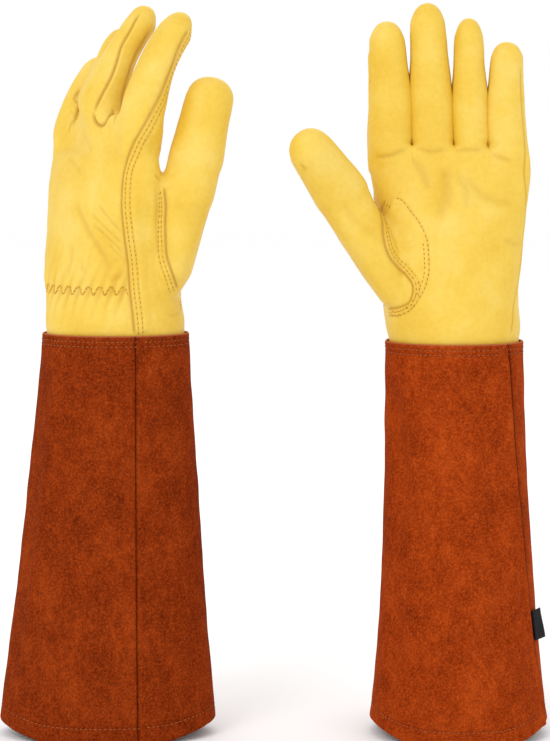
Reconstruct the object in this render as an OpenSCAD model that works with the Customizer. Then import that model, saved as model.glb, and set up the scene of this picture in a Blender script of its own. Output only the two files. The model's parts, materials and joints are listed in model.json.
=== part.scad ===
// A pair of long gauntlet gloves for beekeeping, standing on their hems.
// Smooth leather hands are sewn to flared suede cuffs. The second glove shows
// its palm to -Y; the first is the same glove turned about Z, fingers curled.
// Each glove is drawn in its own frame: palm to -Y, thumb to -X, fingers to +Z.

/* [Pair] */
// Where each glove stands along X
glove_x = [-95.5, 105]; // [-200:1:200]
// Where each glove stands along Y
glove_y = [1.5, 3]; // [-20:0.5:20]
// Turn of each glove about Z, from palm to the front
glove_turn = [130, 0]; // [0:5:180]

/* [Materials] */
// Thickness of the smooth leather
leather_t = 1.4; // [1:0.1:2]
// Thickness of the suede
suede_t = 1.6; // [1:0.1:2.4]

/* [Cuff] */
// Height of each cuff, hem to wrist seam
cuff_len = [245, 240]; // [180:1:260]
// Half-width of each cuff at the hem
hem_half_w = [66, 54.5]; // [50:0.5:80]
// Half-depth of each cuff at the hem
hem_half_d = [38, 50]; // [30:0.5:60]
// Half-width of each cuff at the wrist seam
top_half_w = [44, 41.6]; // [36:0.2:50]
// Half-depth of each cuff at the wrist seam
top_half_d = [32, 34.5]; // [28:0.5:45]
// How late each cuff flares: 1 is a cone, 2 flares near the hem
flare = [1.1, 2]; // [1:0.05:2.5]
// How far each hem sits along X from the hand's middle
hem_shift = [-6.4, 7.4]; // [-10:0.2:10]
// How far each wrist seam sits along X from the hand's middle
top_shift = [0, 3.2]; // [-10:0.2:10]
// How far the hem rises at the side seams
hem_lift = 9; // [0:0.5:15]
// Depth of the suede turned up inside the hem
turnup_h = 18; // [8:1:30]

/* [Hand] */
// Height of the wrist fold above the hem
wrist_z = 252; // [240:1:255]
// Height of the elastic across the back of the wrist
elastic_z = 270; // [266:1:280]
// Half-width and half-depth of the hand at the knuckles
knuckle_half = [46.5, 16.5]; // [14:0.5:50]
// Sideways shift of each hand from its wrist, along X
hand_shift = [-6, 0]; // [-10:0.5:10]

/* [Fingers] */
// Finger middles across the hand: index, middle, ring, little
finger_x = [-36.6, -10.6, 12.4, 34.8]; // [-40:0.1:40]
// Half-widths of the fingers
finger_half_w = [12.8, 12.3, 10, 11.7]; // [8:0.1:14]
// Heights of the finger hinges
finger_z = [358, 359, 357, 354]; // [350:1:365]
// Finger lengths above the hinge, first glove
finger_len_1 = [84, 85, 73, 60]; // [40:1:100]
// Finger lengths above the hinge, second glove
finger_len_2 = [73, 83, 76, 65]; // [40:1:100]
// Bend of each resting finger towards the palm, first glove
finger_curl_1 = [45, 33, 32, 40]; // [0:1:60]
// Bend of each resting finger towards the palm, second glove
finger_curl_2 = [8, 6, 6, 8]; // [0:1:60]
// Sideways lean of the fingers towards the thumb
finger_splay = [1, 2, 2, 3]; // [0:0.5:6]
// Half-depth of every finger
finger_half_d = 10.4; // [8:0.1:12]

/* [Thumb] */
// Length of the thumb above its hinge
thumb_len = 81; // [60:1:95]
// Half-width and half-depth of the thumb at its root
thumb_half = [16.5, 13]; // [10:0.5:18]
// Lean of each thumb away from the fingers
thumb_lean = [-4, 32]; // [-10:1:40]
// Lean of each thumb towards the palm side
thumb_tilt = [12.5, 26]; // [0:0.5:40]
// Turn of each thumb about its own length
thumb_twist = [50, 0]; // [0:5:60]

/* [Hidden] */
GLOVES = ["glove1", "glove2"];
DIGITS = ["index", "middle", "ring", "little"];
BODY_PARTS = ["cuff_palm_panel", "cuff_back_panel", "hem_turnup", "wrist_facing",
  "wrist_gathers", "wrist_elastic", "palm_panel", "back_panel", "thumb_gusset",
  "side_welt", "knuckle_folds", "thumb_root", "thumb_front", "thumb_back"];
FINGER_PARTS = ["palm_side", "back_side", "fourchette"];

GRAIN = [0.93, 0.76, 0.30];
SUEDE = [0.63, 0.26, 0.09];
SUEDE_INSIDE = [0.50, 0.20, 0.08];
BAND = [0.85, 0.82, 0.74];
CLOTH = [0.05, 0.05, 0.06];

finger_len = [finger_len_1, finger_len_2];
finger_curl = [finger_curl_1, finger_curl_2];

// Seams, as angles round the glove: 180 is the thumb side, 270 the palm
radial_seam = 158;
ulnar_seam = -32;
seam_gap = 1.2;          // angle left open on each side of a seam of the hand
cuff_seam_gap = 0.4;     // the same on the cuff
arc_step = 18;           // longest stretch between two points round a wall
ply_gap = 1;             // room between two layers, which clears the flats of both
strip_gap = 0.7;         // room under a strip sewn on the outside
facing_h = 14;           // depth of the leather sewn inside the top of the cuff
elastic_arc = [0, 130];  // stretch of the back that the elastic gathers
elastic_half_h = 4;
elastic_t = 1;

// Where the strips of a finger meet, as angles round it
palm_arc = [215, 325];
back_arc = [35, 145];
index_seam = 150;        // the index has no side strip on the thumb side
little_seam = -25;       // the little finger has none on the outer side
tip_start = 0.82;        // share of its length at which a digit starts to round off
taper = 0.08;            // share of its width that a digit loses on its way up

hinge_room = 8;          // clear length on each side of a finger hinge
fold_room = 6.8;         // reach of the soft fold inside that length
hand_foot = wrist_z + 10;
drift_h = 50;            // height over which the hand moves sideways from the wrist
hem_rest = 0.25;         // how far towards its sides the hem still rests
hem_fade = 60;           // height at which the rise of the hem has died out
thumb_room = 20;         // length of thumb inside its soft root
thumb_curl = 6;          // bend of the thumb towards the palm
thumb_foot = [[-54, -16, 319], [-52.5, -8, 304]];

// The hand above its wrist: height, middle, half-width, half-depth
HAND_LINE = [
  [264, 1, 40, 32],
  [290, 1.5, 42, 26],
  [325, 1, 45.4, 21],
  [344, 0, knuckle_half.x, knuckle_half.y]];
turn_top = 310;          // height at which the hand has turned fully from the cuff

// The leaf of the thumb gusset: height, first angle, last angle
GUSSET = [[276, 229, 246], [290, 208, 249], [305, 200, 246], [320, 207, 232]];

// ---- Sections ----

function hand_col(z, c) = lookup(z, [for (r = HAND_LINE) [r[0], r[c]]]);

// Angle of the cuff's long axis, seen from the glove's own frame
function cuff_axis(g) = (180 - glove_turn[g]) % 180;

// A shift along the pair's X, seen from the glove's own frame
function seen_from_glove(g, d) = d * [cos(glove_turn[g]), -sin(glove_turn[g])];

function flared(g, z) = pow(1 - z / cuff_len[g], flare[g]);

function hand_drift(g, z) = hand_shift[g] * min(1, max(0, (z - hand_foot) / drift_h));

// Middle, half-width, half-depth and axis angle of the glove at one height
function cuff_section(g, z) = let (f = flared(g, z))
  [seen_from_glove(g, mix(top_shift[g], hem_shift[g], 1 - z / cuff_len[g])),
   top_half_w[g] + (hem_half_w[g] - top_half_w[g]) * f,
   top_half_d[g] + (hem_half_d[g] - top_half_d[g]) * f,
   cuff_axis(g)];

function hand_section(g, z) =
  [[hand_col(z, 1), 0] + seen_from_glove(g, hand_drift(g, z)),
   hand_col(z, 2),
   hand_col(z, 3),
   cuff_axis(g) * min(1, max(0, (turn_top - z) / (turn_top - HAND_LINE[0][0])))];

function mix(a, b, f) = a + (b - a) * f;

function section(g, z) =
  z <= cuff_len[g] ? cuff_section(g, z)
  : z >= HAND_LINE[0][0] ? hand_section(g, z)
  : let (f = (z - cuff_len[g]) / (HAND_LINE[0][0] - cuff_len[g]),
         a = cuff_section(g, cuff_len[g]),
         b = hand_section(g, HAND_LINE[0][0]))
    [for (i = [0:3]) mix(a[i], b[i], f)];

// Point of a section at one angle, moved in from the outside by inset
function wall_point(g, z, a, inset) =
  let (s = section(g, z),
       u = (s[1] - inset) * cos(a - s[3]),
       v = (s[2] - inset) * sin(a - s[3]))
  [s[0].x + u * cos(s[3]) - v * sin(s[3]), s[0].y + u * sin(s[3]) + v * cos(s[3]), z];

function arc_angles(a0, a1) = let (n = max(1, ceil((a1 - a0) / arc_step)))
  [for (i = [0:n]) mix(a0, a1, i / n)];

RING = [for (a = [0:arc_step:359]) a];

// ---- Walls: two grids of points, outside and inside, closed round their edges ----

function split(a, b, c, d) = [[a, b, c], [a, c, d]];

function wall_faces(m, n, ring) =
  let (q = m * n, cols = ring ? n : n - 1)
  concat(
    [for (i = [0:m - 2]) for (j = [0:cols - 1]) let (k = (j + 1) % n)
      each concat(
        split(i * n + j, (i + 1) * n + j, (i + 1) * n + k, i * n + k),
        split(q + i * n + j, q + i * n + k, q + (i + 1) * n + k, q + (i + 1) * n + j))],
    [for (j = [0:cols - 1]) let (k = (j + 1) % n, e = (m - 1) * n)
      each concat(split(j, k, q + k, q + j), split(e + j, q + e + j, q + e + k, e + k))],
    ring ? [] : [for (i = [0:m - 2])
      each concat(
        split(i * n, q + i * n, q + (i + 1) * n, (i + 1) * n),
        split(i * n + n - 1, (i + 1) * n + n - 1, q + (i + 1) * n + n - 1, q + i * n + n - 1))]);

module wall(outside, inside, ring = false) {
  m = len(outside);
  n = len(outside[0]);
  points = concat([for (r = outside) each r], [for (r = inside) each r]);
  polyhedron(points, wall_faces(m, n, ring));
}

// Heights are a list; the angles may differ at each height
module glove_wall(g, heights, angles, inset, thick, ring = false) {
  outside = [for (i = [0:len(heights) - 1])
    [for (a = angles[i]) wall_point(g, heights[i], a, inset)]];
  inside = [for (i = [0:len(heights) - 1])
    [for (a = angles[i]) wall_point(g, heights[i], a, inset + thick)]];
  wall(outside, inside, ring);
}

module seamed_wall(g, heights, a0, a1, inset, thick) {
  angles = arc_angles(a0 + seam_gap, a1 - seam_gap);
  glove_wall(g, heights, [for (z = heights) angles], inset, thick);
}

module ring_wall(g, heights, inset, thick) {
  glove_wall(g, heights, [for (z = heights) RING], inset, thick, true);
}

module place(g) {
  translate([glove_x[g], glove_y[g], 0]) rotate([0, 0, glove_turn[g]]) children();
}

// ---- Cuff ----

// The hem rests on its front and back, and rises towards both sides
function hem_z(g, a, z) =
  let (side = cos(a - cuff_axis(g)),
       rise = max(0, side * side - hem_rest) / (1 - hem_rest))
  z + hem_lift * rise * max(0, 1 - z / hem_fade);

function cuff_heights(g) = [for (f = [0, 0.08, 0.25, 0.5, 0.75, 1]) f * cuff_len[g]];

module hemmed_wall(g, heights, angles, inset, thick, ring = false) {
  outside = [for (z = heights) [for (a = angles)
    let (p = wall_point(g, z, a, inset)) [p.x, p.y, hem_z(g, a, z)]]];
  inside = [for (z = heights) [for (a = angles)
    let (p = wall_point(g, z, a, inset + thick)) [p.x, p.y, hem_z(g, a, z)]]];
  wall(outside, inside, ring);
}

module cuff_panel(g, a0, a1) {
  angles = arc_angles(a0 + cuff_seam_gap, a1 - cuff_seam_gap);
  color(SUEDE) place(g) hemmed_wall(g, cuff_heights(g), angles, 0, suede_t);
}

// Suede turned up and stitched inside the hem
module hem_turnup(g) {
  inset = suede_t + ply_gap;
  color(SUEDE_INSIDE) place(g)
    hemmed_wall(g, [0.6, turnup_h], RING, inset, suede_t, true);
}

// Lower edge of the leather hand, sewn inside the top of the cuff
module wrist_facing(g) {
  top = cuff_len[g];
  color(GRAIN) place(g)
    ring_wall(g, [top - facing_h, top - 1], suede_t + ply_gap, leather_t);
}

// ---- Hand ----

// Soft leather between the cuff and the hand, which folds at the wrist
module wrist_gathers(g) {
  color(GRAIN) place(g)
    ring_wall(g, [cuff_len[g] + 0.6, hand_foot - 0.6], 0, leather_t);
}

hand_top = min(finger_z) - hinge_room - 1.5;
hand_heights = [hand_foot, 276, 290, 305, 320, 334, hand_top];

module hand_panel(g, a0, a1) {
  color(GRAIN) place(g) seamed_wall(g, hand_heights, a0, a1, 0, leather_t);
}

module wrist_elastic(g) {
  heights = [elastic_z - elastic_half_h, elastic_z + elastic_half_h];
  color(BAND) place(g)
    seamed_wall(g, heights, elastic_arc[0], elastic_arc[1], leather_t + ply_gap, elastic_t);
}

module thumb_gusset(g) {
  thick = 1.2;
  heights = [for (r = GUSSET) r[0]];
  steps = 4;
  angles = [for (r = GUSSET) [for (i = [0:steps]) mix(r[1], r[2], i / steps)]];
  color(GRAIN) place(g)
    glove_wall(g, heights, angles, -thick - strip_gap, thick);
}

// Raised edge of the long seam on the thumb side of the hand
module side_welt(g) {
  half = 1.8;
  thick = 1.2;
  color(GRAIN) place(g)
    glove_wall(g, hand_heights,
      [for (z = hand_heights) [radial_seam - half, radial_seam + half]],
      -thick - strip_gap, thick);
}

// ---- Digits: tubes that bend along an arc and close in a round tip ----

// Width of a digit at f of its length, as a part of its full width
function tip_round(f) = (1 - taper * f)
  * (f < tip_start ? 1 : sqrt(1 - pow((f - tip_start) / (1 - tip_start), 2)));

// Point on a digit that starts at the origin and bends towards -Y
function digit_point(length, curl, half, s, a, inset) =
  let (f = s / length,
       bend = curl * f,
       r = length / max(curl, 0.5) * 180 / PI,
       k = tip_round(max(f, 0)),
       u = max(half.x * k - inset, 0.12) * cos(a),
       v = max(half.y * k - inset, 0.12) * sin(a))
  [u, -r * (1 - cos(bend)) + v * cos(bend), r * sin(bend) + v * sin(bend)];

TIP_STEPS = [0.35, 0.6, 0.78, 0.87, 0.93, 0.97];

function digit_steps(length, start) = concat([start], [for (f = TIP_STEPS) f * length], [length * 0.992]);

module digit_wall(length, curl, half, steps, angles, ring = false) {
  outside = [for (s = steps) [for (a = angles) digit_point(length, curl, half, s, a, 0)]];
  inside = [for (s = steps) [for (a = angles)
    digit_point(length, curl, half, s, a, leather_t)]];
  wall(outside, inside, ring);
}

module digit_strip(length, curl, half, start, a0, a1) {
  digit_wall(length, curl, half, digit_steps(length, start),
    arc_angles(a0 + seam_gap, a1 - seam_gap));
}

// ---- Fingers ----

function finger_foot(g, f) = let (d = seen_from_glove(g, hand_shift[g]))
  [finger_x[f] + d.x, d.y, finger_z[f]];

function finger_half(f) = [finger_half_w[f], finger_half_d];

module finger_strip(g, f, a0, a1) {
  place(g) translate(finger_foot(g, f)) rotate([0, -finger_splay[f], 0])
    digit_strip(finger_len[g][f], finger_curl[g][f], finger_half(f), hinge_room, a0, a1);
}

// The outer fingers have no side strip on the outside of the hand
is_index = [true, false, false, false];
is_little = [false, false, false, true];

module finger_palm_side(g, f) {
  color(GRAIN) finger_strip(g, f, is_index[f] ? index_seam : palm_arc[0],
    is_little[f] ? little_seam + 360 : palm_arc[1]);
}

module finger_back_side(g, f) {
  color(GRAIN) finger_strip(g, f, is_little[f] ? little_seam : back_arc[0],
    is_index[f] ? index_seam : back_arc[1]);
}

// Side strips of one finger, on the sides that face its neighbours
module finger_fourchette(g, f) {
  color(GRAIN) {
    if (!is_little[f]) finger_strip(g, f, palm_arc[1], back_arc[0] + 360);
    if (!is_index[f]) finger_strip(g, f, back_arc[1], palm_arc[0]);
  }
}

// Soft leather at the foot of each finger, which folds at the knuckle
module knuckle_folds(g) {
  color(GRAIN) place(g)
    for (f = [0:len(DIGITS) - 1])
      translate(finger_foot(g, f)) rotate([0, -finger_splay[f], 0])
        digit_wall(finger_len[g][f], finger_curl[g][f], finger_half(f),
          [-fold_room, fold_room], RING, true);
}

// ---- Thumb ----

module thumb_frame(g) {
  place(g) translate(thumb_foot[g])
    rotate([0, -thumb_lean[g], 0]) rotate([thumb_tilt[g], 0, 0]) rotate([0, 0, thumb_twist[g]])
      children();
}

module thumb_strip(g, a0, a1) {
  color(GRAIN) thumb_frame(g)
    digit_strip(thumb_len, thumb_curl, thumb_half, thumb_room, a0, a1);
}

function turn_x(p, a) = [p.x, p.y * cos(a) - p.z * sin(a), p.y * sin(a) + p.z * cos(a)];
function turn_y(p, a) = [p.x * cos(a) + p.z * sin(a), p.y, p.z * cos(a) - p.x * sin(a)];
function turn_z(p, a) = [p.x * cos(a) - p.y * sin(a), p.x * sin(a) + p.y * cos(a), p.z];

function on_thumb(g, p) = thumb_foot[g]
  + turn_y(turn_x(turn_z(p, thumb_twist[g]), thumb_tilt[g]), -thumb_lean[g]);

// Soft leather between the side of the hand and the thumb
root_middle = [[-46, -9, 294], [-44.6, -7, 290]];
root_half = [[14, 28], [13, 26]];

function root_ring(g, inset) = [for (a = RING)
  root_middle[g] + [0, (root_half[g].x - inset) * sin(a), (root_half[g].y - inset) * cos(a)]];

function thumb_ring(g, inset) = [for (a = RING)
  on_thumb(g, digit_point(thumb_len, thumb_curl, thumb_half, thumb_room - 0.8, a, inset))];

module thumb_root(g) {
  color(GRAIN) place(g)
    wall([root_ring(g, 0), thumb_ring(g, 0)], [root_ring(g, leather_t), thumb_ring(g, leather_t)], true);
}

// ---- Label: a small woven tag at the second cuff's outer seam, near the hem ----

label_w = 5.6;
label_h = 18;
label_z = 70;
label_t = 0.8;
label_lean = -11;
label_turn = 10;         // how far it turns to the back from straight out
label_out = 1.2;         // how far its seat is outside the suede

module label() {
  g = 1;
  seat = wall_point(g, label_z, ulnar_seam, -label_out);
  color(CLOTH) place(g) translate(seat)
    rotate([0, 0, ulnar_seam - label_turn]) rotate([label_lean, 0, 0])
      translate([0, -label_w / 2, -label_h / 2]) cube([label_t, label_w, label_h]);
}

// ---- Sub-parts ----

module body_part(g, p) {
  if (p == "cuff_palm_panel") cuff_panel(g, radial_seam, ulnar_seam + 360);
  if (p == "cuff_back_panel") cuff_panel(g, ulnar_seam, radial_seam);
  if (p == "hem_turnup") hem_turnup(g);
  if (p == "wrist_facing") wrist_facing(g);
  if (p == "wrist_gathers") wrist_gathers(g);
  if (p == "wrist_elastic") wrist_elastic(g);
  if (p == "palm_panel") hand_panel(g, radial_seam, ulnar_seam + 360);
  if (p == "back_panel") hand_panel(g, ulnar_seam, radial_seam);
  if (p == "thumb_gusset") thumb_gusset(g);
  if (p == "side_welt") side_welt(g);
  if (p == "knuckle_folds") knuckle_folds(g);
  if (p == "thumb_root") thumb_root(g);
  if (p == "thumb_front") thumb_strip(g, 180, 360);
  if (p == "thumb_back") thumb_strip(g, 0, 180);
}

module finger_part(g, f, p) {
  if (p == "palm_side") finger_palm_side(g, f);
  if (p == "back_side") finger_back_side(g, f);
  if (p == "fourchette") finger_fourchette(g, f);
}

for (g = [0, 1]) for (p = BODY_PARTS)
  body_part(g, p);
for (g = [0, 1]) for (f = [0:3]) for (p = FINGER_PARTS)
  finger_part(g, f, p);
label();  // glove2_label
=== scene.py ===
"""Looks of a pair of long gauntlet gloves: smooth yellow leather hands sewn to rust suede cuffs.

Lengths are millimetres and angles are degrees until a mesh is made, which is in metres. Each
glove is worked out in its own frame, read from its wrist hinge: x from the thumb side to the
little finger, y from the palm to the back of the hand, z up. Angles round the hand and the
cuff start at x: 90 is the back of the hand, 180 the thumb side, 270 the palm.
"""

import json
import math

import bmesh
import bpy
import numpy as np
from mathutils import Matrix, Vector, geometry, noise
from mathutils.bvhtree import BVHTree
from mathutils.kdtree import KDTree


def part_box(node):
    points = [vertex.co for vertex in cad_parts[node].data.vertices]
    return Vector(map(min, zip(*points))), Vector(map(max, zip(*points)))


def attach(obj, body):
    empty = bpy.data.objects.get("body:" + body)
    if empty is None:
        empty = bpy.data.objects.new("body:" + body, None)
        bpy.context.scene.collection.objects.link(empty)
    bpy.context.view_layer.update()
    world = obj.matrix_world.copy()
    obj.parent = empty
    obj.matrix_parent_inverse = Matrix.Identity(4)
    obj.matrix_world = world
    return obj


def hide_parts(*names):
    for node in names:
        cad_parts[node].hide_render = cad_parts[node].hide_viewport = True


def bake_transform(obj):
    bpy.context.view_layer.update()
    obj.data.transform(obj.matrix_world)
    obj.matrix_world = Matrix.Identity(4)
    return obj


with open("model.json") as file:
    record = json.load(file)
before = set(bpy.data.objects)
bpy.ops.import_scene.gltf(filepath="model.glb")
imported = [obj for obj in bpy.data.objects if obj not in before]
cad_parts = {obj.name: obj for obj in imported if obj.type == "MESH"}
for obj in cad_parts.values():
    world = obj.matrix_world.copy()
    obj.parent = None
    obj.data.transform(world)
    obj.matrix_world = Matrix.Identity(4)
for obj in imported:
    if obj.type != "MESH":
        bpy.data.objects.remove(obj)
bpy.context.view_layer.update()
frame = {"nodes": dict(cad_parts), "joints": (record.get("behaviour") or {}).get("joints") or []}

MM = 0.001
FINGERS = ("index", "middle", "ring", "little")
ROUND_UP = 1.008  # what the flats of the CAD walls take off an ellipse
RING_STEPS = 48
VOXEL = 0.85

LEATHER_T = 1.2
SUEDE_T = 1.6
ENDLESS = 1e4  # length of a tube without a tip

# How the worn leather sits on each straight digit: moved across and deep above its foot, moved
# across at its tip, share of its width lost at the tip, and extra width and depth above its foot.
SIT = {
    "glove1": {
        "index": (1, 1, -2, 0.05, 0.06, 0.3),
        "middle": (11.5, 4, 0, 0.06, 0.4, 0.4),
        "ring": (10, -6, -4.5, 0.10, 0.0, 0.0),
        "little": (7, -4, -4, 0.12, 0.05, 0.08),
        "thumb": (3, 0, -3, 0.07, 0.03, 0.08),
    },
    "glove2": {
        "index": (2.2, 0, -0.6, 0.10, 0.08, 0.1),
        "middle": (0, 0, -0.8, 0.07, 0.13, 0.1),
        "ring": (0, 0, 0.2, 0.06, 0.20, 0.1),
        "little": (-1.8, 0, 1.2, 0.08, 0.11, 0.1),
        "thumb": (2, 0, 0, 0.11, 0.06, 0.05),
    },
}


# ---- Small tools ----


def unit(v):
    v = np.asarray(v, float)
    return v / np.linalg.norm(v, axis=-1, keepdims=True)


def ease(x, low, high):
    """0 before low and 1 past high, smooth between; low may be above high."""
    t = np.clip((np.asarray(x, float) - low) / (high - low), 0, 1)
    return t * t * (3 - 2 * t)


def hump(x, width):
    return np.exp(-((np.asarray(x, float) / width) ** 2))


def through(x, xs, ys):
    """A smooth curve through the points (xs, ys), going straight on past its ends."""
    xs, ys = np.asarray(xs, float), np.asarray(ys, float)
    x = np.atleast_1d(np.asarray(x, float))
    column = (-1,) + (1,) * (ys.ndim - 1)
    slope = np.gradient(ys, xs, axis=0)
    held = np.clip(x, xs[0], xs[-1])
    i = np.clip(np.searchsorted(xs, held) - 1, 0, len(xs) - 2)
    h = (xs[i + 1] - xs[i]).reshape(column)
    t = (held - xs[i]).reshape(column) / h
    curve = (2 * t**3 - 3 * t**2 + 1) * ys[i] + (3 * t**2 - 2 * t**3) * ys[i + 1]
    curve = curve + h * ((t**3 - 2 * t**2 + t) * slope[i] + (t**3 - t**2) * slope[i + 1])
    end = np.where((x < xs[0]).reshape(column), slope[0], slope[-1])
    return curve + (x - held).reshape(column) * end


def reach_of(points):
    """How far along a row of points each of them is."""
    return np.concatenate([[0], np.cumsum(np.linalg.norm(np.diff(points, axis=0), axis=1))])


def rumple(points, size, seed=0):
    """Smooth noise from -1 to 1 with lumps of about that size."""
    shift = 17.3 * seed
    return np.array([noise.noise((x + shift, y - shift, z)) for x, y, z in (points / size).tolist()])


def full_turn(steps=RING_STEPS):
    return np.linspace(0, 360, steps, endpoint=False)


def turned(angle):
    a = np.radians(np.asarray(angle, float))
    return np.stack([np.cos(a), np.sin(a)], -1)


# ---- Gloves and what the frame says of them ----


def joint(name):
    return next(j for j in frame["joints"] if j["name"] == name)


class Glove:
    """One glove, its own frame and its CAD walls in that frame."""

    def __init__(self, name):
        self.name = name
        wrist = joint(name + "_wrist_bend")
        self.origin = np.array([wrist["pos_m"][0], wrist["pos_m"][1], 0]) / MM
        x = unit(wrist["axis"])
        z = np.array([0.0, 0, 1])
        self.axes = np.array([x, np.cross(z, x), z])
        self.wrist_z = wrist["pos_m"][2] / MM
        self.cuff_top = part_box(self.part("cuff_palm_panel"))[1].z / MM
        low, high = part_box(self.part("wrist_elastic"))
        self.elastic_z = (low.z + high.z) / 2 / MM + 1.5
        self.fingers = {f: self.digit_tube(f) for f in FINGERS}
        self.thumb = self.thumb_tube()
        self.cuff = self.cuff_tube()
        self.hand = self.hand_tube()

    def part(self, name):
        return f"{self.name}_{name}"

    def local(self, points):
        return (np.asarray(points, float) - self.origin) @ self.axes.T

    def world(self, points):
        return np.asarray(points, float) @ self.axes + self.origin

    def hinge(self, name):
        """Place and axis of one of this glove's hinges."""
        found = joint(self.part(name))
        return self.local(np.array(found["pos_m"]) / MM), np.array(found["axis"]) @ self.axes.T

    def walls(self, part):
        """Vertices and triangles of one of this glove's CAD nodes."""
        mesh = frame["nodes"][self.part(part)].data
        mesh.calc_loop_triangles()
        co = np.empty(len(mesh.vertices) * 3, np.float32)
        mesh.vertices.foreach_get("co", co)
        triangles = np.empty(len(mesh.loop_triangles) * 3, np.int32)
        mesh.loop_triangles.foreach_get("vertices", triangles)
        return self.local(co.reshape(-1, 3) / MM), triangles.reshape(-1, 3)

    def crossing(self, parts, middle, along):
        """Points where a plane crosses those CAD walls."""
        found = []
        for part in parts:
            co, triangles = self.walls(part)
            height = (co - middle) @ along
            for i, j in ((0, 1), (1, 2), (2, 0)):
                a, b = triangles[:, i], triangles[:, j]
                cut = (height[a] > 0) != (height[b] > 0)
                a, b = a[cut], b[cut]
                share = (height[a] / (height[a] - height[b]))[:, None]
                found.append(co[a] + (co[b] - co[a]) * share)
        return np.vstack(found)

    def digit_tube(self, finger):
        base = self.hinge(finger + "_bend")[0]
        parts = [f"{finger}_{side}" for side in ("palm_side", "back_side", "fourchette")]
        reach = self.tip(parts, base) - base
        flat = np.array([reach[0], 0, reach[2]])
        bend = 2 * math.atan2(-reach[1], np.linalg.norm(flat))
        length = np.linalg.norm(reach) * (bend / 2) / math.sin(bend / 2)
        tube = Tube(base, unit(flat), np.array([1.0, 0, 0]), bend, length)
        tube.measure(self, [(s, parts, 0) for s in np.linspace(9, 0.78 * length, 5)])
        return tube.sit(*SIT[self.name][finger])

    def thumb_tube(self):
        base, axis = self.hinge("thumb_swing")
        parts = ["thumb_front", "thumb_back"]
        reach = self.tip(parts, base) - base
        length = np.linalg.norm(reach)
        tube = Tube(base, unit(reach), axis, 0.0, length)
        tube.measure(self, [(s, parts, 0) for s in np.linspace(9.6, 0.72 * length, 4)])
        return tube.sit(*SIT[self.name]["thumb"], rooted=False)

    def tip(self, parts, base):
        co = np.vstack([self.walls(p)[0] for p in parts])
        return co[np.argmax(np.linalg.norm(co - base, axis=1))]

    def cuff_tube(self):
        parts = ["cuff_palm_panel", "cuff_back_panel"]
        heights = [0.083, 0.25, 0.5, 0.75, 0.998]
        return self.upright_tube([(h * self.cuff_top, parts, 0) for h in heights])

    def hand_tube(self):
        """The hand, from the leather tucked into the cuff up to the knuckles."""
        top = self.cuff_top
        cuff = ["cuff_palm_panel", "cuff_back_panel"]
        hand = ["palm_panel", "back_panel"]
        low, high = (v.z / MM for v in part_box(self.part("palm_panel")))
        stations = [(top - 14, cuff, 3.2), (top - 0.6, cuff, 2.6), (top + 8, ["wrist_gathers"], 0.6)]
        return self.upright_tube(stations + [(z, hand, 0) for z in np.linspace(low + 1, high - 1, 7)])

    def upright_tube(self, stations):
        """A tube along z with no tip, so that no height is past its last section."""
        upright = Tube(np.zeros(3), np.array([0.0, 0, 1]), np.array([1.0, 0, 0]), 0.0, ENDLESS)
        return upright.measure(self, stations)


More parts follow.
